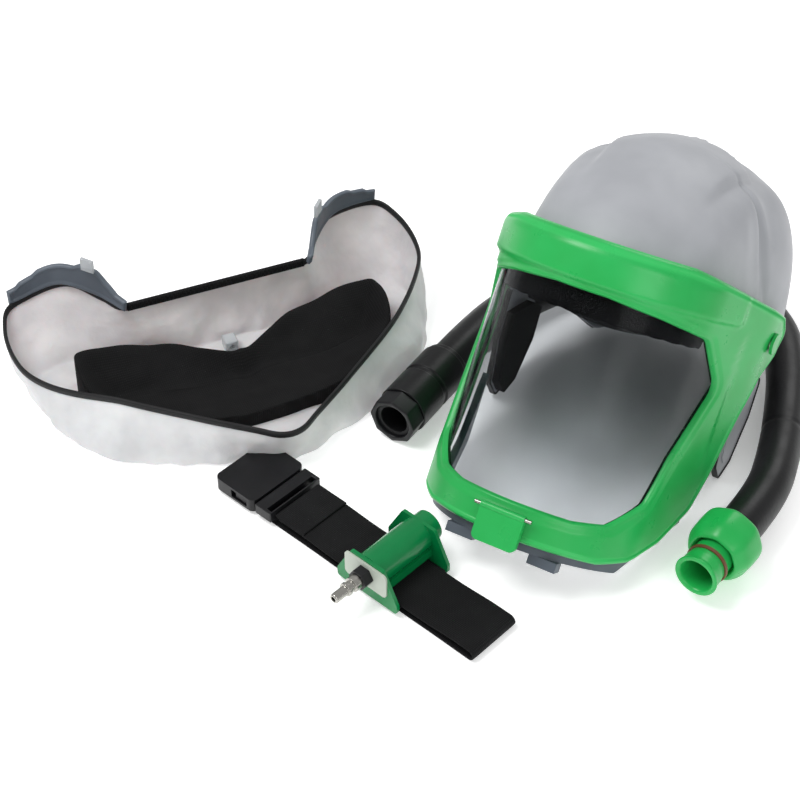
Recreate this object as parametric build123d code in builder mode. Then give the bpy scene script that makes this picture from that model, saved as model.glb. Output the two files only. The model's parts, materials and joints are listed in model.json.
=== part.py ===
"""Supplied-air respirator kit: helmet with flip-up visor, breathing tube, waist belt with
flow valve, and face seal, laid out on a floor.  Millimetres, +Z up, the wearer faces -Y."""
from build123d import *
from math import cos, pi, radians, sin, tan
import os

os.makedirs("parts", exist_ok=True)

# ---------------------------------------------------------------- layout on the floor
KIT_CENTRE = Vector(-23.7, 14.7, 0)
HELMET_TILT = -20.0
VISOR_TILT = -36.7
PIVOT_HEIGHT = 112.0
PIVOT_AT = Vector(173, 103.5, PIVOT_HEIGHT) - KIT_CENTRE
HELMET_POSE = Location(PIVOT_AT, (HELMET_TILT, 0, 0))
VISOR_POSE = Location(PIVOT_AT, (VISOR_TILT, 0, 0))
BELT_POSE = Location(Vector(-19, -156, 0) - KIT_CENTRE, (0, 0, -12.8))
SEAL_POSE = Location(Vector(-189, -1, 0) - KIT_CENTRE, (0, 0, -37.1))

# ---------------------------------------------------------------- helmet and visor
FRONT_Y = -160.0          # lens line ahead of the pivots
LENS_RADIUS = 95.0
TEMPLE_RADIUS = 45.0
SIDE_HALF_WIDTH = 109.8
BACK_Y = 46.0
LENS_THICK = 2.0
FRAME_THICK = 6.0
BROW_EXTRA = 3.5
GASKET_THICK = 2.0
WINDOW_SIDE = [(-200, 6), (-137, 1), (-98, -6), (-62, -42), (-94, -106), (-107, -145),
               (-130, -168), (-147, -172), (-200, -172)]   # its outline seen from the side
WINDOW_ROUNDING = [(2, 8), (3, 14), (5, 12)]
BROW_TOP = 46.0
SHELL_GAP = 6.0
SHELL_THICK = 3.0
CROWN_FLATTENING = 0.87   # crown height over the turned form's own radius
REAR_Y = 45.0             # axis of the rear bulge
REAR_RADIUS = 108.0
PIVOT_R = 5.0
FIT = 0.05                # radial running clearance

# ---------------------------------------------------------------- breathing tube
TUBE_OD = 36.0
TUBE_ID = 30.0
CUFF_OD = 45.0
NUT_OD = 56.0

# ---------------------------------------------------------------- belt
WEB_WIDTH = 50.0
WEB_THICK = 1.8
BELT_LENGTH = 227.0
VALVE_X = 122.0
VALVE_HALF_SPAN = 28.0
VALVE_AXIS_Z = 27.0


def save(piece, name, pose=Location()):
    """Place a finished piece in the kit frame and write its STEP file."""
    placed = piece.moved(pose)
    placed.label = name
    export_step(placed, f"parts/{name}.step")
    return placed


def plan(grow):
    """Plan outline of the visor line, grown outwards by a distance, as a sketch."""
    with BuildSketch() as outline:
        with BuildLine():
            front = JernArc((0, FRONT_Y - grow), (1, 0), LENS_RADIUS + grow, 58)
            temple = JernArc(front @ 1, front % 1, TEMPLE_RADIUS + grow, 17)
            heading = temple % 1
            reach = (SIDE_HALF_WIDTH + grow - (temple @ 1).X) / heading.X
            side = Line(temple @ 1, (temple @ 1) + heading * reach)
            arm = Line(side @ 1, (SIDE_HALF_WIDTH + grow, BACK_Y))
            Line(arm @ 1, (0, BACK_Y))
            mirror(about=Plane.YZ)
        make_face()
    return outline.sketch


def side_prism(points, rounding=(), half_width=160.0, grow=0.0):
    """Solid whose side view is a grown polygon, some corners rounded, spanning the width."""
    with BuildPart() as prism:
        with BuildSketch(Plane.YZ):
            with BuildLine():
                Polyline(*points, close=True)
            make_face()
            if grow:
                offset(amount=grow, kind=Kind.INTERSECTION)
        extrude(amount=half_width, both=True)
        for index, radius in rounding:
            y, z = points[index]
            edge = prism.edges().filter_by(Axis.X).sort_by_distance((0, y, z))[0]
            fillet(edge, radius)
    return prism.part


def wall(inner, outer, low, high):
    """Upright wall between two grown plan outlines."""
    with BuildPart() as ring:
        with BuildSketch(Plane.XY.offset(low)):
            add(plan(outer))
            add(plan(inner), mode=Mode.SUBTRACT)
        extrude(amount=high - low)
    return ring.part


def turned(inner_grow, outer_grow):
    """Skin made by turning the plan line about the pivot axis."""
    with BuildPart() as skin:
        with BuildSketch() as profile:
            add(plan(outer_grow))
            if inner_grow is not None:
                add(plan(inner_grow), mode=Mode.SUBTRACT)
            with Locations((0, 100)):
                Rectangle(400, 200, mode=Mode.SUBTRACT)
        revolve(axis=Axis.X)
        scale(by=(1, 1, CROWN_FLATTENING))
    return skin.part


def rear_bulge(shrink):
    """Body of revolution about an upright axis that forms the back of the shell."""
    r = REAR_RADIUS - shrink
    top = 124 - shrink
    with BuildPart() as bulge:
        with BuildSketch(Plane.XZ.offset(-REAR_Y)):
            with BuildLine():
                nape = ThreePointArc((84 - shrink, -96), (102 - shrink, -52), (r, -8))
                dome = Spline((r, -8), (0.76 * r, 0.72 * top), (0, top),
                              tangents=[(0, 1), (-1, 0)])
                Line(dome @ 1, (0, -96))
                Line((0, -96), nape @ 0)
            make_face()
        revolve(axis=Axis((0, REAR_Y, 0), (0, 0, 1)))
    return bulge.part


# ================================================================ helmet shell

def floor_line(y):
    """Height, in the tilted helmet's own side view, of the floor under a point."""
    return (y * sin(radians(-HELMET_TILT)) - PIVOT_HEIGHT) / cos(radians(HELMET_TILT))


NAPE_Y = 104.0
EDGE_LINE = [(-200, 64), (-150, 54), (-70, 28), (-32, -18), (20, -32), (66, -44),
             (NAPE_Y, floor_line(NAPE_Y))]
BELOW_EDGE = EDGE_LINE + [(200, floor_line(200)), (200, -200), (-200, -200)]


def raise_line(amount):
    return [(y, z + amount) for y, z in EDGE_LINE]


outer_form = turned(None, -SHELL_GAP) + rear_bulge(0)
inner_form = turned(None, -SHELL_GAP - SHELL_THICK) + rear_bulge(SHELL_THICK)

with BuildPart() as helmet_shell:
    add(outer_form)
    add(inner_form, mode=Mode.SUBTRACT)
    add(side_prism(BELOW_EDGE), mode=Mode.SUBTRACT)
    with Locations(Location((0, 0, 0), (0, 90, 0))):
        Cylinder(PIVOT_R, 300, mode=Mode.SUBTRACT)
    with Locations(Location((0, 150, 34), (90, 0, 0))):
        Cylinder(19.6, 40, mode=Mode.SUBTRACT)
save(helmet_shell.part, "helmet_shell", HELMET_POSE)

with BuildPart() as shell_edge_trim:
    add(turned(-SHELL_GAP, -SHELL_GAP + 1.2) + (rear_bulge(-1.2) - outer_form))
    add(side_prism(BELOW_EDGE), mode=Mode.SUBTRACT)
    add(rear_bulge(0), mode=Mode.SUBTRACT)
    add(turned(None, -SHELL_GAP), mode=Mode.SUBTRACT)
    above = raise_line(6) + [(200, floor_line(200) + 6), (200, 300), (-200, 300)]
    add(side_prism(above), mode=Mode.SUBTRACT)
    with BuildSketch(Plane.XZ.offset(-62)):
        Rectangle(400, 400)
    extrude(amount=300, mode=Mode.SUBTRACT)
save(shell_edge_trim.part, "shell_edge_trim", HELMET_POSE)

LINER_GAP = 20.5
with BuildPart() as impact_liner:
    add(turned(-LINER_GAP - 7, -LINER_GAP))
    with BuildSketch(Plane.XY.offset(58)):
        Rectangle(400, 400)
    extrude(amount=-300, mode=Mode.SUBTRACT)
save(impact_liner.part, "impact_liner", HELMET_POSE)

with BuildPart() as air_duct:
    add(turned(-19.5, -10))
    duct_side = [(-170, 60), (0, 40), (100, 50), (134, 56), (134, 200), (-170, 200)]
    add(side_prism(duct_side, half_width=24), mode=Mode.INTERSECT)
    add(turned(-18, -11.5) & side_prism(duct_side, half_width=22.5), mode=Mode.SUBTRACT)
save(air_duct.part, "air_duct", HELMET_POSE)

INLET_Z = 34.0
inlet_axis = Plane(origin=(0, 140, INLET_Z), x_dir=(1, 0, 0), z_dir=(0, 1, 0))
with BuildPart() as inlet_spigot:
    with BuildSketch(inlet_axis):
        Circle(17)
        Circle(13, mode=Mode.SUBTRACT)
    extrude(amount=12)
    with BuildSketch(inlet_axis.offset(12)):
        Circle(16)
        Circle(13, mode=Mode.SUBTRACT)
    extrude(amount=18)
    with BuildSketch(inlet_axis.offset(-3)):
        Circle(22)
        Circle(13, mode=Mode.SUBTRACT)
    extrude(amount=3)
save(inlet_spigot.part, "inlet_spigot", HELMET_POSE)

with BuildPart() as inlet_seal:
    with BuildSketch(inlet_axis.offset(8)):
        Circle(19.4)
        Circle(17, mode=Mode.SUBTRACT)
    extrude(amount=3)
save(inlet_seal.part, "inlet_seal", HELMET_POSE)

# ================================================================ side guards and face frame
GUARD_X = 104.0
LINING_THICK, LINING_TOP = 8.0, -40.0
GUARD_OUTLINE = [(-24, -2), (8, -6), (13, -38), (36, -48), (30, -80), (6, -114), (-17, -122),
                 (-34, -106), (-38, -64)]


def guard_plate(grow, x_low, x_high):
    """Pair of upright side plates with the guard's outline."""
    with BuildPart() as plates:
        with BuildSketch(Plane.YZ.offset(x_low)):
            with BuildLine():
                Polyline(*GUARD_OUTLINE, close=True)
            make_face()
            if grow > -10:
                fillet(vertices(), 6)
            if grow:
                offset(amount=grow)
        extrude(amount=x_high - x_low)
        mirror(about=Plane.YZ)
    return plates.part


with BuildPart() as guards:
    add(guard_plate(0, GUARD_X, GUARD_X + 3))
    add(guard_plate(-11, GUARD_X + 3, GUARD_X + 4.2))
    with Locations(Location((0, 0, 0), (0, 90, 0))):
        Cylinder(PIVOT_R, 300, mode=Mode.SUBTRACT)
left_guard, right_guard = guards.part.solids().sort_by(Axis.X)[::-1]
save(Part() + left_guard, "side_guard_left", HELMET_POSE)
save(Part() + right_guard, "side_guard_right", HELMET_POSE)

with BuildPart() as linings:
    add(guard_plate(-3, GUARD_X - LINING_THICK, GUARD_X))
    with BuildSketch(Plane.XY.offset(LINING_TOP)):
        Rectangle(400, 400)
    extrude(amount=60, mode=Mode.SUBTRACT)
left_lining, right_lining = linings.part.solids().sort_by(Axis.X)[::-1]
save(Part() + left_lining, "cheek_lining_left", HELMET_POSE)
save(Part() + right_lining, "cheek_lining_right", HELMET_POSE)

with BuildPart() as guard_trims:
    add(guard_plate(1.6, GUARD_X - 1, GUARD_X + 4))
    add(guard_plate(0, GUARD_X - 1, GUARD_X + 4), mode=Mode.SUBTRACT)
    with BuildSketch(Plane.XY.offset(-20)):
        Rectangle(400, 400)
    extrude(amount=60, mode=Mode.SUBTRACT)
save(guard_trims.part, "guard_trims", HELMET_POSE)

FACE_SIDE = [(-190, -206), (-108, -204), (-64, -176), (-36, -160), (-36, -100),
             (-50, -128), (-72, -156), (-108, -178), (-190, -178)]
with BuildPart() as face_frame:
    add(wall(-9, -2.6, -230, -20))
    add(side_prism(FACE_SIDE), mode=Mode.INTERSECT)
    with Locations((36, -146, -209), (-36, -146, -209)):
        Box(24, 12, 8)
save(face_frame.part, "face_frame", VISOR_POSE)

# ================================================================ brow seal and head cradle
with BuildPart() as brow_seal:
    add(wall(-5.5, -GASKET_THICK, -16, 5))
    add(side_prism([(-190, -16), (-95, -16), (-95, 5), (-190, 5)]), mode=Mode.INTERSECT)
save(brow_seal.part, "brow_seal", VISOR_POSE)

BAND_LOW, BAND_HIGH = 2.0, 30.0
BAND_CENTRE = (0, 4)
BAND_A, BAND_B = 78.0, 98.0
with BuildPart() as headband:
    with BuildSketch(Plane.XY.offset(BAND_LOW)):
        with Locations(BAND_CENTRE):
            Ellipse(BAND_A, BAND_B)
            Ellipse(BAND_A - 2, BAND_B - 2, mode=Mode.SUBTRACT)
        with Locations((0, 110)):
            Rectangle(72, 60, mode=Mode.SUBTRACT)
    extrude(amount=BAND_HIGH - BAND_LOW)
save(headband.part, "headband", HELMET_POSE)

with BuildPart() as sweat_pad:
    with BuildSketch(Plane.XY.offset(BAND_LOW - 1)):
        with Locations(BAND_CENTRE):
            Ellipse(BAND_A - 2.1, BAND_B - 2.1)
            Ellipse(BAND_A - 7, BAND_B - 7, mode=Mode.SUBTRACT)
        with Locations((0, 60)):
            Rectangle(220, 220, mode=Mode.SUBTRACT)
    extrude(amount=BAND_HIGH - BAND_LOW + 1)
save(sweat_pad.part, "sweat_pad", HELMET_POSE)

STRAP_TOP = 100.0
STRAP_FOOT = BAND_HIGH + 2
with BuildPart() as crown_straps:
    for plane, half, drop in ((Plane.XZ.offset(-14), BAND_A - 6, 0.0),
                              (Plane.YZ.offset(-10), BAND_B - 12, 1.4)):
        rise = STRAP_TOP - STRAP_FOOT - drop
        middle = 0 if drop == 0.0 else 4
        with BuildSketch(plane):
            with Locations((middle, STRAP_FOOT)):
                Ellipse(half, rise)
                Ellipse(half - 1.2, rise - 1.2, mode=Mode.SUBTRACT)
            with Locations((middle, STRAP_FOOT - 200)):
                Rectangle(400, 400, mode=Mode.SUBTRACT)
        extrude(amount=20)
save(crown_straps.part, "crown_straps", HELMET_POSE)

with BuildPart() as strap_keys:
    for x, y in ((BAND_A - 6, 4), (-BAND_A + 6, 4)):
        with Locations((x, y, BAND_HIGH + 1)):
            Box(8, 22, 2)
    for y in (BAND_B - 8, -BAND_B + 16):
        with Locations((0, y, BAND_HIGH + 1)):
            Box(22, 8, 2)
save(strap_keys.part, "strap_keys", HELMET_POSE)

RATCHET_Y = 104.0
with BuildPart() as ratchet_housing:
    with Locations((0, RATCHET_Y + 2, 16)):
        Box(66, 12, 34)
        fillet(edges().filter_by(Axis.Y), 8)
        Box(80, 5.2, 22, mode=Mode.SUBTRACT)
    with Locations(Location((0, RATCHET_Y, 16), (90, 0, 0))):
        Cylinder(4 + FIT, 40, mode=Mode.SUBTRACT)
save(ratchet_housing.part, "ratchet_housing", HELMET_POSE)

with BuildPart() as ratchet_knob:
    knob_plane = Plane(origin=(0, RATCHET_Y + 8.4, 16), x_dir=(1, 0, 0), z_dir=(0, 1, 0))
    with BuildSketch(knob_plane):
        Circle(15)
        with PolarLocations(15.6, 18):
            Circle(1.6, mode=Mode.SUBTRACT)
    extrude(amount=11)
    with BuildSketch(knob_plane):
        Circle(4)
    extrude(amount=-12.2)
save(ratchet_knob.part, "ratchet_knob", HELMET_POSE)

TAIL_GAP = 4.6
for name, sign in (("left", 1), ("right", -1)):
    with BuildPart() as tail:
        with Locations((sign * 26, RATCHET_Y + 2 + 1.35 * sign, 16 + sign * (TAIL_GAP + 2.5))):
            Box(40, 1.8, 5)
        with Locations((sign * 42, RATCHET_Y + 2 + 1.35 * sign, 16)):
            Box(12, 1.8, 18)
    save(tail.part, f"headband_tail_{name}", HELMET_POSE)

# ================================================================ pivots
WASHER_X = GUARD_X + 3
ARM_IN = SIDE_HALF_WIDTH + LENS_THICK
ARM_OUT = ARM_IN + FRAME_THICK


def on_sides(radius, low, high, bore=0.0):
    """Two matching discs on the pivot axis, one each side."""
    with BuildPart() as discs:
        with BuildSketch(Plane.YZ.offset(low)):
            Circle(radius)
            if bore:
                Circle(bore, mode=Mode.SUBTRACT)
        extrude(amount=high - low)
        mirror(about=Plane.YZ)
    return discs.part


save(on_sides(PIVOT_R, 92, ARM_OUT + 0.3), "pivot_pins", HELMET_POSE)
save(on_sides(13, WASHER_X, ARM_IN - 0.1, PIVOT_R), "pivot_washers", HELMET_POSE)
save(on_sides(9, ARM_OUT + 0.3, ARM_OUT + 3), "pivot_caps", HELMET_POSE)

# ================================================================ visor
FRAME_SIDE = [(-190, BROW_TOP), (-128, 42), (-15, 27), (20, 22), (36, 12), (36, -10), (8, -27),
              (-6, -52), (-22, -100), (-38, -142), (-72, -178), (-104, -203), (-190, -205)]
with BuildPart() as visor_frame:
    add(wall(LENS_THICK, LENS_THICK + FRAME_THICK, -230, 60))
    add(side_prism(FRAME_SIDE, [(4, 9), (5, 14), (10, 30)]), mode=Mode.INTERSECT)
    add(side_prism(WINDOW_SIDE, WINDOW_ROUNDING), mode=Mode.SUBTRACT)
    brow = wall(LENS_THICK + FRAME_THICK, LENS_THICK + FRAME_THICK + BROW_EXTRA, 6, 60)
    brow_side = [(-190, BROW_TOP), (-128, 42), (-72, 34.5), (-72, 8), (-190, 8)]
    add(brow & side_prism(brow_side))
    with Locations(Location((0, 0, 0), (0, 90, 0))):
        Cylinder(PIVOT_R + FIT, 300, mode=Mode.SUBTRACT)
    lug_z = -178.0
    for x in (22.5, -22.5):
        with Locations((x, FRONT_Y - 9.5, lug_z)):
            Box(4, 9, 7)
    with Locations(Location((0, FRONT_Y - 12, lug_z), (0, 90, 0))):
        Cylinder(1.5, 60, mode=Mode.SUBTRACT)
save(visor_frame.part, "visor_frame", VISOR_POSE)


def window_sheet(low_grow, high_grow, opened=False):
    """Sheet behind the window that laps its edge, whole or opened as a rim."""
    with BuildPart() as sheet:
        add(wall(low_grow, high_grow, -190, 20))
        add(side_prism(WINDOW_SIDE, grow=WINDOW_LAP), mode=Mode.INTERSECT)
        if opened:
            add(side_prism(WINDOW_SIDE, grow=-1.0), mode=Mode.SUBTRACT)
    return sheet.part


WINDOW_LAP = 8.0
save(window_sheet(0, LENS_THICK), "visor_lens", VISOR_POSE)
save(window_sheet(-GASKET_THICK, 0, opened=True), "lens_gasket", VISOR_POSE)

LATCH_Y = FRONT_Y - 12.0
with BuildPart() as visor_latch:
    with BuildSketch(Plane.XY.offset(-206)):
        with BuildLine():
            Polyline((-19, LATCH_Y - 2), (19, LATCH_Y - 2), (19, LATCH_Y + 2.6),
                     (-19, LATCH_Y + 2.6), close=True)
        make_face()
    extrude(amount=28)
    with Locations(Location((0, LATCH_Y, lug_z), (0, 90, 0))):
        Cylinder(3, 38)
        Cylinder(1.5 + FIT, 60, mode=Mode.SUBTRACT)
    bottom_edges = visor_latch.edges().filter_by(Axis.Y).group_by(Axis.Z)[0]
    fillet(bottom_edges, 5)
save(visor_latch.part, "visor_latch", VISOR_POSE)

with BuildPart() as latch_pin:
    with Locations(Location((0, LATCH_Y, lug_z), (0, 90, 0))):
        Cylinder(1.5, 49)
save(latch_pin.part, "latch_pin", VISOR_POSE)

# ================================================================ breathing tube
TUBE_ROUTE = [(24, 40, 22.5), (26, 88, 22.5), (33, 140, 19.5), (55, 194, 18.2), (94, 240, 18.2),
              (148, 267, 18.2), (208, 267, 18.2), (258, 236, 18.2), (286, 184, 18.2),
              (304, 132, 19.5), (319, 80, 22.5), (330, 22, 26.5), (324, -28, 28)]
route = [Vector(*point) - KIT_CENTRE for point in TUBE_ROUTE]


def bend_radii(points):
    radii = []
    for before, here, after in zip(points, points[1:], points[2:]):
        half_turn = radians((here - before).get_angle(after - here)) / 2
        shorter = min((here - before).length, (after - here).length)
        radii.append(0.45 * shorter / tan(half_turn))
    return radii


radii = bend_radii(route)
print("tube bend radii:", [round(r) for r in radii])
with BuildPart() as breathing_tube:
    with BuildLine() as tube_path:
        FilletPolyline(*route, radius=radii)
    with BuildSketch(Plane(origin=tube_path.line @ 0, z_dir=tube_path.line % 0)):
        Circle(TUBE_OD / 2)
        Circle(TUBE_ID / 2, mode=Mode.SUBTRACT)
    sweep()
tube_section = pi * (TUBE_OD ** 2 - TUBE_ID ** 2) / 4
print("tube length", round(tube_path.wires()[0].length), "volume ratio",
      round(breathing_tube.part.volume / (tube_section * tube_path.wires()[0].length), 4))
save(breathing_tube.part, "breathing_tube")

cuff_out = route[0] - route[1]
cuff_plane = Plane(origin=route[0], z_dir=cuff_out)
CUFF_LENGTH = 72.0
COLLAR_LENGTH = 17.0
with BuildPart() as tube_cuff:
    with BuildSketch(cuff_plane):
        Circle(CUFF_OD / 2 - 1.5)
        Circle(TUBE_ID / 2, mode=Mode.SUBTRACT)
    extrude(amount=CUFF_LENGTH)
    with BuildSketch(cuff_plane.offset(5)):
        Circle(CUFF_OD / 2)
        Circle(TUBE_ID / 2, mode=Mode.SUBTRACT)
    extrude(amount=30)
    with BuildSketch(cuff_plane.offset(40)):
        Circle(CUFF_OD / 2)
        Circle(TUBE_ID / 2, mode=Mode.SUBTRACT)
    extrude(amount=CUFF_LENGTH - 40)
    with BuildSketch(cuff_plane.offset(CUFF_LENGTH)):
        Circle(16.5)
        Circle(TUBE_ID / 2, mode=Mode.SUBTRACT)
    extrude(amount=COLLAR_LENGTH - 5)
save(tube_cuff.part, "tube_cuff")

with BuildPart() as cuff_collar:
    with BuildSketch(cuff_plane.offset(CUFF_LENGTH + 0.3)):
        RegularPolygon(20.5, 8, major_radius=False)
        Circle(16.5 + FIT, mode=Mode.SUBTRACT)
    extrude(amount=COLLAR_LENGTH)
save(cuff_collar.part, "cuff_collar")

with BuildPart() as cuff_seal:
    with BuildSketch(cuff_plane.offset(CUFF_LENGTH + COLLAR_LENGTH - 5)):
        Circle(16.3)
        Circle(13, mode=Mode.SUBTRACT)
    extrude(amount=2)
save(cuff_seal.part, "cuff_seal")

nozzle_out = route[-1] - route[-2]
nozzle_plane = Plane(origin=route[-1], z_dir=nozzle_out)
NUT_LENGTH = 36.0
NOZZLE_LENGTH, TIP_LENGTH, TIP_RADIUS = 64.0, 14.0, 17.0
with BuildPart() as coupling_nozzle:
    with BuildSketch(nozzle_plane):
        Circle(TUBE_OD / 2)
        Circle(TUBE_ID / 2 - 1, mode=Mode.SUBTRACT)
    extrude(amount=10)
    with BuildSketch(nozzle_plane.offset(10)):
        Circle(16)
        Circle(12.5, mode=Mode.SUBTRACT)
    extrude(amount=NOZZLE_LENGTH - TIP_LENGTH - 10)
    with BuildSketch(nozzle_plane.offset(41)):
        Circle(19)
        Circle(15, mode=Mode.SUBTRACT)
    extrude(amount=3)
    with BuildSketch(nozzle_plane.offset(NOZZLE_LENGTH - TIP_LENGTH)):
        Circle(TIP_RADIUS)
        Circle(12.5, mode=Mode.SUBTRACT)
    extrude(amount=TIP_LENGTH)
save(coupling_nozzle.part, "coupling_nozzle")

with BuildPart() as coupling_nut:
    with BuildSketch(nozzle_plane.offset(3)):
        Circle(NUT_OD / 2)
        Circle(TUBE_OD / 2 + 0.4, mode=Mode.SUBTRACT)
        with PolarLocations(NUT_OD / 2 + 0.6, 24):
            Circle(1.6, mode=Mode.SUBTRACT)
    extrude(amount=7.4)
    with BuildSketch(nozzle_plane.offset(10.4)):
        Circle(NUT_OD / 2)
        Circle(16 + FIT, mode=Mode.SUBTRACT)
        with PolarLocations(NUT_OD / 2 + 0.6, 24):
            Circle(1.6, mode=Mode.SUBTRACT)
    extrude(amount=NUT_LENGTH - 8)
save(coupling_nut.part, "coupling_nut")

with BuildPart() as nozzle_ring:
    with BuildSketch(nozzle_plane.offset(44.5)):
        Circle(17.6)
        Circle(16, mode=Mode.SUBTRACT)
    extrude(amount=3)
save(nozzle_ring.part, "nozzle_ring")

# ================================================================ belt and buckle
UPPER_Z = 9.6
LOWER_Z = WEB_THICK / 2
with BuildPart() as belt_webbing:
    with BuildSketch(Plane.XZ.offset(-WEB_WIDTH / 2)):
        with BuildLine():
            FilletPolyline((18, UPPER_Z), (BELT_LENGTH, UPPER_Z), (BELT_LENGTH, LOWER_Z),
                           (-30, LOWER_Z), radius=4.3)
        trace(line_width=WEB_THICK)
    extrude(amount=WEB_WIDTH)
save(belt_webbing.part, "belt_webbing", BELT_POSE)

with BuildPart() as sewn_end:
    with Locations((30, 0, UPPER_Z + WEB_THICK)):
        Box(32, WEB_WIDTH, WEB_THICK)
save(sewn_end.part, "sewn_end", BELT_POSE)

BUCKLE_LOW, BUCKLE_HIGH = 3.4, 16.0
with BuildPart() as buckle_female:
    with Locations((-30, 0, (BUCKLE_LOW + BUCKLE_HIGH) / 2)):
        Box(46, 60, BUCKLE_HIGH - BUCKLE_LOW)
    fillet(buckle_female.edges().filter_by(Axis.Z), 6)
    with Locations((-20, 0, (BUCKLE_LOW + BUCKLE_HIGH) / 2)):
        Box(40, 50, 8, mode=Mode.SUBTRACT)
    for side in (1, -1):
        with Locations((-24, side * 30, (BUCKLE_LOW + BUCKLE_HIGH) / 2)):
            Box(18, 20, 8, mode=Mode.SUBTRACT)
    with Locations((-46, 0, 6)):
        Box(7, 52, 8, mode=Mode.SUBTRACT)
save(buckle_female.part, "buckle_female", BELT_POSE)

with BuildPart() as buckle_male:
    with Locations((3, 0, (BUCKLE_LOW + BUCKLE_HIGH) / 2)):
        Box(18, 58, 10)
    with Locations((8, 0, (BUCKLE_LOW + BUCKLE_HIGH) / 2)):
        Box(5, 51, 20, mode=Mode.SUBTRACT)
    with Locations((-20, 0, (BUCKLE_LOW + BUCKLE_HIGH) / 2)):
        Box(32, 10, 6)
save(buckle_male.part, "buckle_male", BELT_POSE)

for name, side in (("rear", 1), ("front", -1)):
    with BuildPart() as arm:
        with BuildSketch(Plane.XY.offset(6.8)):
            with BuildLine():
                Polyline((-8.5, side * 15), (-8.5, side * 21), (-16, side * 23.5),
                         (-17, side * 28.5), (-29, side * 28.5), (-33.5, side * 23),
                         (-33.5, side * 18), (-20, side * 16), close=True)
            make_face()
            with Locations((-8.5, side * 17)):
                Circle(1.6)
        extrude(amount=5.8)
    save(arm.part, f"buckle_arm_{name}", BELT_POSE)

# ================================================================ flow valve
with BuildPart() as valve_body:
    tunnel = Plane.XZ.offset(-VALVE_HALF_SPAN)
    with BuildSketch(tunnel):
        with Locations((VALVE_X, VALVE_AXIS_Z)):
            Circle(15)
        with Locations((VALVE_X, 15.5)):
            Rectangle(30, 8)
    extrude(amount=2 * VALVE_HALF_SPAN)
    for y in (VALVE_HALF_SPAN, -VALVE_HALF_SPAN - 3):
        with BuildSketch(Plane.XZ.offset(-y)):
            with BuildLine():
                Polyline((VALVE_X - 32, 3), (VALVE_X + 32, 3), (VALVE_X + 32, 12),
                         (VALVE_X + 17, 41), (VALVE_X - 17, 41), (VALVE_X - 32, 12), close=True)
            make_face()
            fillet(vertices(), 3)
        extrude(amount=-3)
    with BuildSketch(Plane.XZ.offset(-VALVE_HALF_SPAN - 3)):
        with Locations((VALVE_X, VALVE_AXIS_Z)):
            Circle(10)
    extrude(amount=2 * VALVE_HALF_SPAN + 6, mode=Mode.SUBTRACT)
save(valve_body.part, "valve_body", BELT_POSE)

with BuildPart() as valve_clip:
    with Locations((VALVE_X, 0, 5)):
        Box(60, 2 * VALVE_HALF_SPAN - 0.2, 2)
save(valve_clip.part, "valve_clip", BELT_POSE)

rear_plane = Plane(origin=(VALVE_X, VALVE_HALF_SPAN + 3, VALVE_AXIS_Z), x_dir=(1, 0, 0),
                   z_dir=(0, 1, 0))
front_plane = Plane(origin=(VALVE_X, -VALVE_HALF_SPAN - 3, VALVE_AXIS_Z), x_dir=(1, 0, 0),
                    z_dir=(0, -1, 0))
with BuildPart() as valve_outlet:
    with BuildSketch(rear_plane):
        Circle(13.5)
        Circle(10.5, mode=Mode.SUBTRACT)
    extrude(amount=11)
save(valve_outlet.part, "valve_outlet", BELT_POSE)

with BuildPart() as valve_silencer:
    with BuildSketch(rear_plane.offset(-30)):
        Circle(9.6)
        Circle(6, mode=Mode.SUBTRACT)
    extrude(amount=28)
save(valve_silencer.part, "valve_silencer", BELT_POSE)

with BuildPart() as valve_end_plate:
    with BuildSketch(front_plane):
        Rectangle(44, 24)
        fillet(vertices(), 4)
        Circle(6, mode=Mode.SUBTRACT)
    extrude(amount=1.6)
save(valve_end_plate.part, "valve_end_plate", BELT_POSE)

with BuildPart() as valve_orifice:
    with BuildSketch(front_plane.offset(-24)):
        Circle(10)
        Circle(2, mode=Mode.SUBTRACT)
    extrude(amount=20)
save(valve_orifice.part, "valve_orifice", BELT_POSE)

with BuildPart() as hex_collar:
    with BuildSketch(front_plane.offset(1.6)):
        RegularPolygon(8, 6, major_radius=False)
        Circle(4.5, mode=Mode.SUBTRACT)
    extrude(amount=9)
save(hex_collar.part, "hex_collar", BELT_POSE)

with BuildPart() as air_plug:
    with BuildSketch(Plane(origin=front_plane.origin, x_dir=(0, -1, 0), z_dir=(1, 0, 0))) as half:
        with BuildLine():
            Polyline((-4, 2.2), (-4, 4.5), (10.6, 4.5), (10.6, 6.4), (17, 6.4), (17, 4.6),
                     (21, 4.6), (21, 5.8), (24, 5.8), (24, 4.2), (36, 4.2), (37, 3.4),
                     (37, 2.2), close=True)
        make_face()
    revolve(axis=Axis(front_plane.origin, (0, 1, 0)))
save(air_plug.part, "air_plug", BELT_POSE)

# ================================================================ face seal
RIM_SLOPE = 0.08
RIM_Z = 52.0
rim_plane = Plane(origin=(0, 0, RIM_Z), x_dir=(1, 0, -RIM_SLOPE), z_dir=(RIM_SLOPE, 0, 1))
RIM_HALF = [(0, 40), (0, 84), (-20, 100), (-52, 125), (-60, 176), (-20, 188), (40, 181),
            (107, 134), (153, 74), (188, 14)]
FOOT_HALF = [(14, 40), (12, 80), (2, 100), (-8, 125), (-6, 168), (20, 178), (62, 170),
             (112, 136), (138, 84), (160, 12)]


def whole(half, inset=0.0):
    """Closed outline from one half, drawn in towards its middle by an inset."""
    middle = Vector(70, 0)
    points = [Vector(u, v) for u, v in half] + [Vector(u, -v) for u, v in reversed(half)]
    return [p + (middle - p).normalized() * inset for p in points]


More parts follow.
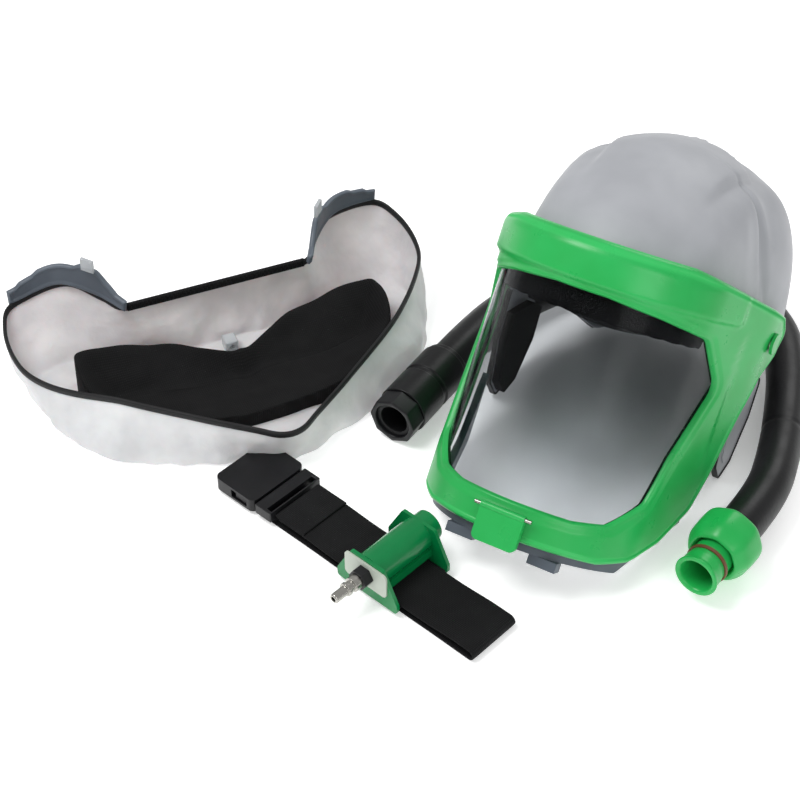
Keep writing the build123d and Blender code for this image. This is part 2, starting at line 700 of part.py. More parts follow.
def bowl(inset, floor):
    with BuildPart() as form:
        with BuildSketch(Plane.XY.offset(floor)):
            with BuildLine():
                Polyline(*whole(FOOT_HALF, inset), close=True)
            make_face()
        with BuildSketch(rim_plane):
            with BuildLine():
                Polyline(*whole(RIM_HALF, inset), close=True)
            make_face()
        loft(ruled=True)
    return form.part


SKIRT_THICK = 3.0
NECK_HALF = [(60, 10), (46, 34), (27, 72), (24, 128), (34, 140), (76, 134), (119, 84),
             (132, 26)]
with BuildPart() as seal_fabric:
    add(bowl(0, 0))
    add(bowl(SKIRT_THICK, SKIRT_THICK), mode=Mode.SUBTRACT)
    with BuildSketch():
        with BuildLine():
            Polyline(*[Vector(u, v) for u, v in NECK_HALF],
                     *[Vector(u, -v) for u, v in reversed(NECK_HALF)], close=True)
        make_face()
    extrude(amount=6, mode=Mode.SUBTRACT)
save(seal_fabric.part, "seal_fabric", SEAL_POSE)

with BuildPart() as neck_cuff:
    with BuildSketch(Plane.XY.offset(SKIRT_THICK)):
        with BuildLine():
            Polyline(*[Vector(u, v) for u, v in NECK_HALF],
                     *[Vector(u, -v) for u, v in reversed(NECK_HALF)], close=True)
        make_face()
        offset(amount=4, kind=Kind.INTERSECTION)
        with BuildLine():
            Polyline(*[Vector(u, v) for u, v in NECK_HALF],
                     *[Vector(u, -v) for u, v in reversed(NECK_HALF)], close=True)
        make_face(mode=Mode.SUBTRACT)
    extrude(amount=24)
save(neck_cuff.part, "neck_cuff", SEAL_POSE)

with BuildPart() as seal_rim:
    with BuildSketch(rim_plane):
        with BuildLine():
            Polyline(*whole(RIM_HALF, -1.5), close=True)
        make_face()
        with BuildLine():
            Polyline(*whole(RIM_HALF, SKIRT_THICK + 0.5), close=True)
        make_face(mode=Mode.SUBTRACT)
    extrude(amount=5)
    with BuildSketch(Plane.YZ.offset(-8)):
        with Locations((0, RIM_Z)):
            Rectangle(164, 40)
    extrude(amount=16, mode=Mode.SUBTRACT)
save(seal_rim.part, "seal_rim", SEAL_POSE)

with BuildPart() as seal_zip:
    with BuildSketch(rim_plane):
        with Locations((1.5, 0)):
            Rectangle(6, 163.5)
    extrude(amount=8)
save(seal_zip.part, "seal_zip", SEAL_POSE)

CLIP_AXIS_HEIGHT = 31.2      # above the plane of the rim
for name, sign in (("left", 1), ("right", -1)):
    with BuildPart() as bracket:
        with BuildSketch(rim_plane.offset(5.3)):
            with BuildLine():
                FilletPolyline((6, sign * 88), (-22, sign * 103), (-50, sign * 128),
                               (-57, sign * 174), radius=12)
            trace(line_width=4)
        extrude(amount=24)
    save(bracket.part, f"seal_bracket_{name}", SEAL_POSE)
    hinge_plane = rim_plane.offset(CLIP_AXIS_HEIGHT)
    turn = radians(sign * 48)
    way = rim_plane.x_dir * -sin(turn) + rim_plane.y_dir * cos(turn)
    knuckle_start = hinge_plane.from_local_coords(Vector(-28, sign * 108, 0)) - way * 6
    with BuildPart() as clip:
        with BuildSketch(hinge_plane):
            with Locations((-28, sign * 108)):
                Rectangle(3, 12, rotation=sign * 48)
        extrude(amount=12)
        with BuildSketch(Plane(origin=knuckle_start, z_dir=way)):
            Circle(1.6)
        extrude(amount=12)
    save(clip.part, f"bracket_clip_{name}", SEAL_POSE)

with BuildPart() as cord_toggle:
    with Locations((30, 0, 10)):
        Box(14, 12, 12)
        fillet(edges(), 2)
    with Locations(Location((30, 0, 10), (0, 90, 0))):
        Cylinder(2.2, 40, mode=Mode.SUBTRACT)
save(cord_toggle.part, "cord_toggle", SEAL_POSE)
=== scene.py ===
"""Looks of a supplied-air respirator kit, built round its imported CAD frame.

Local shapes are written in millimetres in the same tilted frames as the CAD, and each
frame's matrix brings them to metres in the row frame.
"""
import json
import math

import bmesh
import bpy
import numpy as np
from mathutils import Matrix, Vector, noise
from mathutils.bvhtree import BVHTree


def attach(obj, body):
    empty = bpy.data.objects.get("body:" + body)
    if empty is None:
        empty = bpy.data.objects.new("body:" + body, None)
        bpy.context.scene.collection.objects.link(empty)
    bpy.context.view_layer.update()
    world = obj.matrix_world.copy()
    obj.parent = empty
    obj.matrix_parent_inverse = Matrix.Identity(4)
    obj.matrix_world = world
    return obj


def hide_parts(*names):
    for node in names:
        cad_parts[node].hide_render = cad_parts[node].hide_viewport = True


MM = 0.001
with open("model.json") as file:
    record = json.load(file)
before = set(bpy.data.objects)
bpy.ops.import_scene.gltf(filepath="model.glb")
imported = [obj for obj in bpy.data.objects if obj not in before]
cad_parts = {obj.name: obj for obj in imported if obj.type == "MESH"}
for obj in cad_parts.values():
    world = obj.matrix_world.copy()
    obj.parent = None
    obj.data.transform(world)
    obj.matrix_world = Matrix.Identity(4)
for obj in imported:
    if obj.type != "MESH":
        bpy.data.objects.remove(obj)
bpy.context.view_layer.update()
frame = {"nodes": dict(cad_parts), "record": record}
scene = bpy.context.scene

# ---------------------------------------------------------------- frames, as in the CAD
KIT_CENTRE = Vector((-23.7, 14.7, 0))


def local_frame(origin, axis, degrees):
    """Matrix from a piece's own millimetres to the row frame in metres."""
    place = Matrix.Translation((Vector(origin) - KIT_CENTRE) * MM)
    return place @ Matrix.Rotation(math.radians(degrees), 4, axis) @ Matrix.Scale(MM, 4)


PIVOT = (173, 103.5, 112)
HELMET = local_frame(PIVOT, "X", -20)
VISOR = local_frame(PIVOT, "X", -36.7)
BELT = local_frame((-19, -156, 0), "Z", -12.8)
SEAL = local_frame((-189, -1, 0), "Z", -37.1)
KIT = local_frame((0, 0, 0), "Z", 0)


# ================================================================ materials
def srgb(red, green, blue):
    """Display colour, 0 to 255, as linear RGBA."""
    channels = [c / 255 for c in (red, green, blue)]
    return [c / 12.92 if c < 0.04 else ((c + 0.055) / 1.055) ** 2.4 for c in channels] + [1]


def new_node(tree, kind, **inputs):
    node = tree.nodes.new(kind)
    for key, value in inputs.items():
        node.inputs[key.replace("_", " ")].default_value = value
    return node


def remap(tree, source, low, high, start=0.3, end=0.7):
    """Value node output moved from start..end to low..high."""
    node = new_node(tree, "ShaderNodeMapRange", From_Min=start, From_Max=end,
                    To_Min=low, To_Max=high)
    tree.links.new(source, node.inputs["Value"])
    return node.outputs[0]


def mix_colours(tree, factor, first, second):
    node = tree.nodes.new("ShaderNodeMix")
    node.data_type = "RGBA"
    for socket, value in ((node.inputs[6], first), (node.inputs[7], second)):
        if isinstance(value, bpy.types.NodeSocket):
            tree.links.new(value, socket)
        else:
            socket.default_value = value
    tree.links.new(factor, node.inputs[0])
    return node.outputs[2]


def surface(name, tones, rough, grain, depth, wear=0.0, weave=None, crumple=None, **shader):
    """Procedural finish.

    tones: darker and lighter colour.  rough: lowest and highest roughness.  grain: size in
    metres of the fine relief and depth its height.  wear: how far convex edges lighten.
    weave: (pitch, height, turn in degrees) of crossed threads.  crumple: (size, height).
    """
    material = bpy.data.materials.new(name)
    material.use_nodes = True
    tree = material.node_tree
    bsdf = tree.nodes["Principled BSDF"]
    for key, value in shader.items():
        bsdf.inputs[key.replace("_", " ")].default_value = value
    place = tree.nodes.new("ShaderNodeTexCoord").outputs["Object"]

    def cloud(size, detail=3.0):
        node = new_node(tree, "ShaderNodeTexNoise", Scale=1 / size, Detail=detail)
        tree.links.new(place, node.inputs["Vector"])
        return node.outputs["Fac"]

    colour = mix_colours(tree, remap(tree, cloud(0.045), 0, 1), tones[0], tones[1])
    if wear:
        shape = tree.nodes.new("ShaderNodeNewGeometry").outputs["Pointiness"]
        edge = remap(tree, shape, 0, wear, 0.52, 0.62)
        worn = [min(1, c * 1.6 + 0.04) for c in tones[1][:3]] + [1]
        colour = mix_colours(tree, edge, colour, worn)
    tree.links.new(remap(tree, cloud(0.02, 5.0), *rough), bsdf.inputs["Roughness"])

    layers = [(cloud(grain, 2.0), depth)]
    if crumple:
        layers.append((cloud(crumple[0], 4.0), crumple[1]))
    if weave:
        pitch, height, turn = weave
        mapping = tree.nodes.new("ShaderNodeMapping")
        mapping.inputs["Rotation"].default_value = (0, 0, math.radians(-turn))
        tree.links.new(place, mapping.inputs["Vector"])
        bands = []
        for direction in ("X", "Y"):
            wave = new_node(tree, "ShaderNodeTexWave", Scale=2 * math.pi / (20 * pitch))
            wave.bands_direction = direction
            tree.links.new(mapping.outputs[0], wave.inputs["Vector"])
            bands.append(wave.outputs["Fac"])
        cross = tree.nodes.new("ShaderNodeMath")
        cross.operation = "MULTIPLY"
        tree.links.new(bands[0], cross.inputs[0])
        tree.links.new(bands[1], cross.inputs[1])
        layers.append((cross.outputs[0], height))
        thread = [c * 1.5 + 0.004 for c in tones[1][:3]] + [1]
        colour = mix_colours(tree, cross.outputs[0], colour, thread)
    tree.links.new(colour, bsdf.inputs["Base Color"])
    normal = None
    for source, height in layers:
        bump = new_node(tree, "ShaderNodeBump", Distance=height)
        tree.links.new(source, bump.inputs["Height"])
        if normal is not None:
            tree.links.new(normal, bump.inputs["Normal"])
        normal = bump.outputs[0]
    tree.links.new(normal, bsdf.inputs["Normal"])
    return material


def clear_lens(name):
    """Faintly grey clear sheet that lets part of the lamps' light through."""
    material = surface(name, (srgb(206, 209, 212), srgb(214, 217, 220)), (0.02, 0.05),
                       0.004, 0.000004, Transmission_Weight=1.0, IOR=1.12)
    tree = material.node_tree
    lamp_ray = tree.nodes.new("ShaderNodeLightPath").outputs["Is Shadow Ray"]
    through = new_node(tree, "ShaderNodeBsdfTransparent", Color=srgb(96, 98, 100))
    mix = tree.nodes.new("ShaderNodeMixShader")
    tree.links.new(lamp_ray, mix.inputs[0])
    tree.links.new(tree.nodes["Principled BSDF"].outputs[0], mix.inputs[1])
    tree.links.new(through.outputs[0], mix.inputs[2])
    tree.links.new(mix.outputs[0], tree.nodes["Material Output"].inputs["Surface"])
    return material


FINISH = {
    "shell_grey": surface("shell_grey", (srgb(158, 160, 165), srgb(168, 170, 175)), (0.42, 0.52),
                          0.0009, 0.00006, wear=0.2),
    "green_plastic": surface("green_plastic", (srgb(28, 164, 74), srgb(38, 176, 86)),
                             (0.26, 0.36), 0.0012, 0.00003, wear=0.2,
                             Specular_IOR_Level=0.4),
    "valve_green": surface("valve_green", (srgb(0, 118, 62), srgb(4, 132, 70)), (0.16, 0.26),
                           0.0015, 0.00002, wear=0.2, Specular_IOR_Level=0.4),
    "black_rubber": surface("black_rubber", (srgb(16, 16, 17), srgb(25, 25, 27)), (0.5, 0.65),
                            0.0008, 0.00004, wear=0.2, Specular_IOR_Level=0.3),
    "foam_black": surface("foam_black", (srgb(12, 12, 13), srgb(20, 20, 22)), (0.85, 0.95),
                          0.0012, 0.0003, Specular_IOR_Level=0.25),
    "black_plastic": surface("black_plastic", (srgb(13, 13, 15), srgb(21, 21, 24)), (0.3, 0.42),
                             0.0008, 0.00003, wear=0.2, Specular_IOR_Level=0.3),
    "black_webbing": surface("black_webbing", (srgb(9, 9, 10), srgb(15, 15, 17)), (0.75, 0.9),
                             0.0006, 0.00004, weave=(0.0016, 0.00035, -12.8), Specular_IOR_Level=0.25),
    "dark_grey_plastic": surface("dark_grey_plastic", (srgb(74, 82, 92), srgb(86, 94, 104)),
                                 (0.35, 0.48), 0.0009, 0.00004, wear=0.4),
    "steel": surface("steel", (srgb(150, 148, 142), srgb(190, 188, 182)), (0.18, 0.35),
                     0.0005, 0.00002, wear=0.2, Metallic=1.0),
    "hose_black": surface("hose_black", (srgb(14, 14, 15), srgb(21, 21, 23)), (0.34, 0.46),
                          0.003, 0.00012, Specular_IOR_Level=0.3),
    "brown_rubber": surface("brown_rubber", (srgb(92, 52, 30), srgb(120, 72, 44)), (0.45, 0.6),
                            0.0008, 0.00003),
    "sintered": surface("sintered", (srgb(150, 120, 70), srgb(186, 154, 96)), (0.5, 0.7),
                        0.0006, 0.0002, Metallic=1.0),
    "white_plastic": surface("white_plastic", (srgb(176, 184, 172), srgb(192, 200, 188)),
                             (0.4, 0.5), 0.0008, 0.00003, wear=0.2),
    "brass": surface("brass", (srgb(176, 140, 66), srgb(206, 170, 92)), (0.2, 0.34),
                     0.0005, 0.00002, Metallic=1.0),
    "seal_white": surface("seal_white", (srgb(196, 197, 199), srgb(224, 224, 225)), (0.5, 0.68),
                          0.0007, 0.00005, crumple=(0.022, 0.0022), Sheen_Weight=0.15,
                          Subsurface_Weight=0.12, Subsurface_Scale=0.004),
    "knit_black": surface("knit_black", (srgb(7, 7, 8), srgb(12, 12, 13)), (0.85, 0.95),
                          0.0008, 0.00008, weave=(0.0018, 0.0003, -37.1),
                          crumple=(0.02, 0.0009), Specular_IOR_Level=0.25),
    "clip_clear": surface("clip_clear", (srgb(196, 200, 204), srgb(226, 229, 232)), (0.15, 0.3),
                          0.001, 0.00003, Transmission_Weight=0.35),
    "clear_lens": clear_lens("clear_lens"),
}


# ================================================================ mesh tools
def piece(name, verts, faces, pose, body, slot, *nodes):
    """Mesh object in the row frame, riding on a body and standing for CAD nodes."""
    mesh = bpy.data.meshes.new(name)
    mesh.from_pydata([pose @ Vector(v) for v in verts], [], faces)
    mesh.materials.append(FINISH[slot])
    mesh.polygons.foreach_set("use_smooth", [True] * len(mesh.polygons))
    tidy = bmesh.new()
    tidy.from_mesh(mesh)
    bmesh.ops.recalc_face_normals(tidy, faces=tidy.faces)
    tidy.to_mesh(mesh)
    tidy.free()
    obj = bpy.data.objects.new(name, mesh)
    scene.collection.objects.link(obj)
    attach(obj, body)
    if nodes:
        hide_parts(*nodes)
    return obj


def modify(obj, kind, **settings):
    modifier = obj.modifiers.new(kind.title(), kind)
    for key, value in settings.items():
        setattr(modifier, key, value)
    return obj


def skin(rings, closed_ring=True, closed_path=False, capped=False):
    """Vertices and quads that join successive rings of equally many points."""
    count, verts = len(rings[0]), [p for ring in rings for p in ring]
    faces = []
    for i in range(len(rings) if closed_path else len(rings) - 1):
        a, b = i * count, (i + 1) % len(rings) * count
        for j in range(count if closed_ring else count - 1):
            k = (j + 1) % count
            faces.append((a + j, a + k, b + k, b + j))
    if capped:
        faces.append(tuple(range(count))[::-1])
        faces.append(tuple(range(len(verts) - count, len(verts))))
    return verts, faces


def rounded(points, per=8, closed=False):
    """Smooth line through points (Catmull-Rom)."""
    pts = [Vector(p) for p in points]
    count, line = len(pts), []
    for i in range(count if closed else count - 1):
        if closed:
            a, b, c, d = (pts[(i + k) % count] for k in (-1, 0, 1, 2))
        else:
            a, b, c, d = (pts[min(max(i + k, 0), count - 1)] for k in (-1, 0, 1, 2))
        for step in range(per):
            t = step / per
            line.append(0.5 * (2 * b + (c - a) * t + (2 * a - 5 * b + 4 * c - d) * t ** 2
                               + (3 * b - a - 3 * c + d) * t ** 3))
    return line if closed else line + [pts[-1]]


def even(points, count, closed=False):
    """The same line with evenly spaced points."""
    pts = np.array([list(p) for p in points] + ([list(points[0])] if closed else []), float)
    run = np.concatenate(([0], np.cumsum(np.linalg.norm(np.diff(pts, axis=0), axis=1))))
    at = np.linspace(0, run[-1], count + 1)[:-1] if closed else np.linspace(0, run[-1], count)
    return [Vector([np.interp(a, run, pts[:, k]) for k in range(pts.shape[1])]) for a in at]


def oval(width, height, power=2.0, count=24):
    """Closed section between an ellipse (power 2) and a box (a high power)."""
    section = []
    for i in range(count):
        turn = 2 * math.pi * i / count
        c, s = math.cos(turn), math.sin(turn)
        section.append((math.copysign(abs(c) ** (2 / power), c) * width / 2,
                        math.copysign(abs(s) ** (2 / power), s) * height / 2))
    return section


def sweep(path, section, up, closed=False):
    """Rings of a section (sideways, up) carried along a path."""
    rings, count = [], len(path)
    for i, here in enumerate(path):
        before = path[i - 1] if closed or i else here
        after = path[(i + 1) % count] if closed or i < count - 1 else here
        along = (after - before).normalized()
        side = along.cross(Vector(up)).normalized()
        rise = side.cross(along)
        rings.append([here + side * a + rise * b for a, b in section])
    return rings


def lathe(profile, segments=72, lobes=0, lobe_depth=0.0):
    """Rings of (height, radius) turned about the local z axis."""
    rings = []
    for height, radius in profile:
        ring = []
        for i in range(segments):
            turn = 2 * math.pi * i / segments
            r = radius * (1 - lobe_depth * (1 - math.cos(lobes * turn)) / 2)
            ring.append(Vector((r * math.cos(turn), r * math.sin(turn), height)))
        rings.append(ring)
    return rings


def ease(value, low, high):
    """Smooth step from 0 at low to 1 at high."""
    t = min(1.0, max(0.0, (value - low) / (high - low)))
    return t * t * (3 - 2 * t)


# ================================================================ the visor's plan line
LENS_RADIUS, LENS_TURN = 95.0, math.radians(58)
TEMPLE_RADIUS, TEMPLE_TURN = 45.0, math.radians(17)
FRONT_Y, SIDE_HALF_WIDTH, ARM_END_Y = -160.0, 109.8, 46.0


def plan_table():
    """Evenly spaced points from the middle of the lens round to the end of one arm."""
    step, heading, at = 1.0, 0.0, np.array([0.0, FRONT_Y])
    lens_run = LENS_RADIUS * LENS_TURN
    temple_run = TEMPLE_RADIUS * TEMPLE_TURN
    points = [at.copy()]
    run = 0.0
    while at[1] < ARM_END_Y:
        if run < lens_run:
            heading += step / LENS_RADIUS
        elif run < lens_run + temple_run:
            heading += step / TEMPLE_RADIUS
        elif at[0] > SIDE_HALF_WIDTH - 3.0:
            heading = min(math.pi / 2, heading + step / 90.0)
        at = at + step * np.array([math.cos(heading), math.sin(heading)])
        run += step
        points.append(at.copy())
    return np.array(points)


PLAN = plan_table()
PLAN_NORMAL = np.gradient(PLAN, axis=0)
PLAN_NORMAL = np.stack([PLAN_NORMAL[:, 1], -PLAN_NORMAL[:, 0]], 1)
PLAN_NORMAL /= np.linalg.norm(PLAN_NORMAL, axis=1)[:, None]


def on_plan(run, grow, height):
    """Point of the visor frame at a run along the line, grown outwards."""
    at = np.arange(len(PLAN))
    x, y = (np.interp(abs(run), at, PLAN[:, k]) + grow * np.interp(abs(run), at, PLAN_NORMAL[:, k])
            for k in (0, 1))
    return Vector((math.copysign(1, run) * x, y, height))


def run_at(y):
    return float(np.interp(y, PLAN[:, 1], np.arange(len(PLAN))))


# ================================================================ visor frame
WINDOW_RUN = run_at(-62)
GASKET_LAP = 3.0              # how far the moulding covers the gasket's inner edge
EYE = Vector((0, -80))        # the middle from which both outlines are seen


def bent(points, radii):
    """Polygon with its corners rounded."""
    line, count = [], len(points)
    for i, corner in enumerate(points):
        here, radius = Vector(corner), radii.get(i, 0)
        if not radius:
            line.append(here)
            continue
        before = (Vector(points[i - 1]) - here).normalized()
        after = (Vector(points[(i + 1) % count]) - here).normalized()
        half = before.angle(after) / 2
        reach = radius / math.tan(half)
        a, b = here + before * reach, here + after * reach
        for k in range(9):
            t = k / 8
            line.append(a * (1 - t) ** 2 + here * 2 * t * (1 - t) + b * t ** 2)
    return line


def seen_from_eye(line, turns):
    """Distance of a closed outline from the eye at each of some directions."""
    dense = even(line, 2400, closed=True)
    angle = np.array([math.atan2(p.y - EYE.y, p.x - EYE.x) for p in dense])
    reach = np.array([(p - EYE).length for p in dense])
    order = np.argsort(angle)
    return np.interp(turns, angle[order], reach[order], period=2 * math.pi)


def two_sided(half):
    return half + [(-s, z) for s, z in reversed(half)]


def mirrored_radii(radii, corners):
    return {**radii, **{corners - 1 - i: r for i, r in radii.items()}}


FRAME_HALF = [(run_at(y), z) for y, z in
              ((-128, 43.5), (-15, 28), (20, 23), (36, 12), (36, -10), (6, -29), (-11, -60),
               (-28, -108), (-43, -146), (-74, -175), (-108, -192), (-130, -198))]
WINDOW_HALF = [(22, 5.4)] + [(run_at(y), z) for y, z in
                             ((-137, 1), (-98, -6), (-62, -42), (-94, -106), (-107, -145),
                              (-130, -168), (-147, -172))]


def frame_thickness(run, z, from_window, from_outside):
    """Height of the frame's moulded face over its back."""
    face = 6.0
    brow = ease(z, 6.0, 11.0) * (1 - ease(abs(run), run_at(-72), run_at(-58)))
    face += 4.0 * brow
    top = 44.5 - 0.012 * abs(run)
    lip = ease(z, top - 13, top + 3)
    face -= 6.2 * lip * brow
    arm = ease(abs(run), WINDOW_RUN + 11, WINDOW_RUN + 15) * (1 - ease(z, -8, 8))
    face -= 1.8 * arm * ease(z, -120, -70)
    rail = 1.4 * (1 - ease(from_window, 5, 9)) * (1 - brow)
    face -= rail
    for depth, radius in ((from_window, 2.2), (from_outside, 3.4)):
        if depth < radius:
            face *= math.sqrt(max(0.0, 1 - (1 - depth / radius) ** 2))
    return face


FRAME_LEVELS = 30             # rings from the window's edge to the outside
INNER_DEPTHS = [0, 0.3, 0.8, 1.5, 2.2, 4, 6, 8, 10]
OUTER_DEPTHS = [0, 0.4, 1.1, 2.1, 3.4, 5.5]
FULL_SPAN = 24.0              # where the frame is narrower, the depths shrink
FRAME_BACK = 2.0              # how far the moulding stands off the plan line


def level_depth(level, span):
    """Distance from the window's edge of one of the rings across the frame."""
    shrink = min(1, span / FULL_SPAN)
    plain = FRAME_LEVELS - len(OUTER_DEPTHS) - len(INNER_DEPTHS)
    if level < len(INNER_DEPTHS):
        return INNER_DEPTHS[level] * shrink
    if level >= FRAME_LEVELS - len(OUTER_DEPTHS):
        return span - OUTER_DEPTHS[FRAME_LEVELS - 1 - level] * shrink
    low, high = INNER_DEPTHS[-1] * shrink, span - OUTER_DEPTHS[-1] * shrink
    return low + (high - low) * (level - len(INNER_DEPTHS) + 1) / plain


def visor_frame():
    """Moulded green frame of the visor, with its brow band and its arms."""
    turns = np.linspace(-math.pi, math.pi, 721)[:-1]
    outer = seen_from_eye(bent(two_sided(FRAME_HALF), mirrored_radii(
        {3: 9, 4: 9, 5: 14, 8: 20, 9: 22, 10: 16, 11: 9}, 24)), turns)
    inner = seen_from_eye(bent(two_sided(WINDOW_HALF), mirrored_radii(
        {2: 14, 3: 16, 4: 24, 5: 14, 6: 12, 7: 7}, 16)), turns) - GASKET_LAP
    rings = []
    for level in range(FRAME_LEVELS):
        ring = []
        for turn, near, far in zip(turns, inner, outer):
            span = far - near
            depth = level_depth(level, span)
            run = EYE.x + (near + depth) * math.cos(turn)
            z = EYE.y + (near + depth) * math.sin(turn)
            thick = frame_thickness(run, z, depth, span - depth)
            ring.append(on_plan(run, FRAME_BACK + thick, z))
        rings.append(ring)
    backs = []
    for share in (1.0, 0.66, 0.33, 0.0):
        backs.append([on_plan(EYE.x + (near + (far - near) * share) * math.cos(turn), FRAME_BACK,
                              EYE.y + (near + (far - near) * share) * math.sin(turn))
                      for turn, near, far in zip(turns, inner, outer)])
    verts, faces = skin(rings + backs, closed_path=True)
    return piece("visor_moulding", verts, faces, VISOR, "visor", "green_plastic", "visor_frame")


visor_frame()


def brow_pad():
    """Soft foam strip behind the top of the window."""
    path = [on_plan(s, -3.9, -6 + 0.4 * math.sin(s * 0.35)) for s in range(-118, 119, 2)]
    rings = sweep(path, oval(3.4, 21, 3.2), (0, 0, 1))
    pad = piece("brow_pad", *skin(rings, capped=True), VISOR, "visor", "foam_black", "brow_seal")


brow_pad()

# ================================================================ helmet shell
SHELL_EYE = Vector((0, 12, 0))
SHELL_ROWS, SHELL_COLUMNS = 70, 200


def shell_crest(point):
    """Height of the raised crown panel at a point of the shell, in millimetres."""
    half = 50.0 + 6.0 * ease(point.y, -60, 60)
    side = half - abs(point.x)
    rear = 62.0 - 0.010 * point.x ** 2 - point.y
    inside = min(side, rear)
    return 5.0 * ease(inside, -4.0, 4.0) * ease(point.y, -70, 0) * ease(point.z, 60, 84)


def dome_fullness(point):
    """The dome is a little flat over the crown and full at its shoulders."""
    side = abs(point.x)
    return 1 - 0.008 * (1 - ease(side, 28, 56)) + 0.12 * ease(side, 48, 90) * (
        1 - ease(point.y, 40, 120)) * ease(point.z, 8, 40)


def helmet_shell():
    """Smooth dome that follows the CAD shell's outside, with its raised crown panel."""
    tree = BVHTree.FromObject(frame["nodes"]["helmet_shell"], bpy.context.evaluated_depsgraph_get())
    to_local = HELMET.inverted()
    eye = HELMET @ SHELL_EYE

    def reach(azimuth, rise):
        way = Vector((math.sin(azimuth) * math.cos(rise), -math.cos(azimuth) * math.cos(rise),
                      math.sin(rise)))
        out = (HELMET.to_3x3() @ way).normalized()
        hit = tree.ray_cast(eye + out * 0.5, -out)[0]
        if hit is None or (hit - eye).dot(out) < 0:
            return None
        return (to_local @ hit - SHELL_EYE).length

    azimuths = [2 * math.pi * j / SHELL_COLUMNS for j in range(SHELL_COLUMNS)]
    edges = []
    for azimuth in azimuths:
        high, low = math.pi / 2, None
        for k in range(1, 320):
            rise = math.pi / 2 - k * 0.01
            if reach(azimuth, rise) is None:
                low = rise
                break
            high = rise
        for _ in range(14):
            middle = (high + low) / 2
            high, low = (high, middle) if reach(azimuth, middle) is None else (middle, low)
        edges.append(high)
    edges = np.array(edges)
    for _ in range(2):
        edges = 0.5 * edges + 0.25 * (np.roll(edges, 1) + np.roll(edges, -1))
    radii = np.zeros((SHELL_ROWS, SHELL_COLUMNS))
    for i in range(SHELL_ROWS):
        for j, azimuth in enumerate(azimuths):
            rise = math.pi / 2 + (edges[j] - math.pi / 2) * (i + 0.35) / (SHELL_ROWS - 0.65)
            found = reach(azimuth, max(rise, edges[j] + 0.002))
            radii[i, j] = found if found else radii[i - 1, j]
    for _ in range(26):
        over_the_top = np.roll(radii[:1], SHELL_COLUMNS // 2, 1)
        past_the_edge = radii[-1:] * 2 - radii[-2:-1]
        padded = np.vstack([over_the_top, radii, past_the_edge])
        radii = (0.4 * radii + 0.15 * (padded[:-2] + padded[2:] + np.roll(radii, 1, 1)
                                       + np.roll(radii, -1, 1)))
    rings = []
    for i in range(SHELL_ROWS):
        ring = []
        for j, azimuth in enumerate(azimuths):
            rise = math.pi / 2 + (edges[j] - math.pi / 2) * (i + 0.35) / (SHELL_ROWS - 0.65)
            way = Vector((math.sin(azimuth) * math.cos(rise), -math.cos(azimuth) * math.cos(rise),
                          math.sin(rise)))
            point = SHELL_EYE + way * radii[i, j]
            point.z *= dome_fullness(point)
            ring.append(point + way * shell_crest(point))
        rings.append(ring)
    verts, faces = skin(rings)
    faces.append(tuple(range(SHELL_COLUMNS)))
    shell = piece("helmet_shell_skin", verts, faces, HELMET, "helmet", "shell_grey", "helmet_shell")
    modify(shell, "SOLIDIFY", thickness=3 * MM, offset=-1.0)
    modify(shell, "BEVEL", width=0.7 * MM, segments=2, limit_method="ANGLE",
           angle_limit=math.radians(60))
    return shell


helmet_shell()


# ================================================================ head cradle
def cradle_ribbons():
    """Webbing straps that cross over the head."""
    top, foot, half_width = 100.0, 32.0, 72.0
    rings_x = [Vector((half_width * math.cos(t), 4, foot + (top - foot - 0.6) * math.sin(t)))
               for t in np.linspace(0, math.pi, 61)]
    rings_y = [Vector((0, 4 + 86 * math.cos(t), foot + (top - foot - 2.4) * math.sin(t)))
               for t in np.linspace(0, math.pi, 61)]
    verts, faces = skin(sweep(rings_x, oval(20, 1.2, 6), (0, 0.001, 1)), capped=True)
    more_verts, more_faces = skin(sweep(rings_y, oval(20, 1.2, 6), (0.001, 0, 1)), capped=True)
    shift = len(verts)
    verts += more_verts
    faces += [tuple(i + shift for i in face) for face in more_faces]
    piece("cradle_ribbons", verts, faces, HELMET, "helmet", "black_webbing", "crown_straps")


def forehead_pad():
    """Quilted sweat pad on the front of the headband."""
    path = []
    for t in np.linspace(math.radians(214), math.radians(326), 81):
        swell = 0.5 * abs(math.sin(9 * t))
        path.append(Vector(((73.5 + swell) * math.cos(t), 4 + (93.5 + swell) * math.sin(t), 15.5)))
    rings = sweep(path, oval(4.6, 28, 3.4), (0, 0, 1))
    pad = piece("forehead_pad", *skin(rings, capped=True), HELMET, "helmet", "foam_black",
                "sweat_pad")


cradle_ribbons()
forehead_pad()

# ================================================================ breathing tube
TUBE_ROUTE = [(24, 40, 22.5), (26, 88, 22.5), (33, 140, 19.5), (55, 194, 18.2), (94, 240, 18.2),
              (148, 267, 18.2), (208, 267, 18.2), (258, 236, 18.2), (286, 184, 18.2),
              (304, 132, 19.5), (319, 80, 22.5), (330, 22, 26.5), (324, -28, 28)]
route = [KIT @ Vector(p) for p in TUBE_ROUTE]
TUBE_RADIUS = 18.0


def tube_line():
    """Points along the tube's NURBS spline, in metres."""
    curve = bpy.data.curves.new("tube_line", "CURVE")
    curve.dimensions = "3D"
    spline = curve.splines.new("NURBS")
    spline.points.add(len(route) - 1)
    for point, place in zip(spline.points, route):
        point.co = (*place, 1)
    spline.order_u = 3
    spline.use_endpoint_u = True
    spline.resolution_u = 24
    carrier = bpy.data.objects.new("tube_line", curve)
    mesh = bpy.data.meshes.new_from_object(carrier)
    line = [v.co.copy() for v in mesh.vertices]
    bpy.data.meshes.remove(mesh)
    bpy.data.objects.remove(carrier)
    bpy.data.curves.remove(curve)
    return line


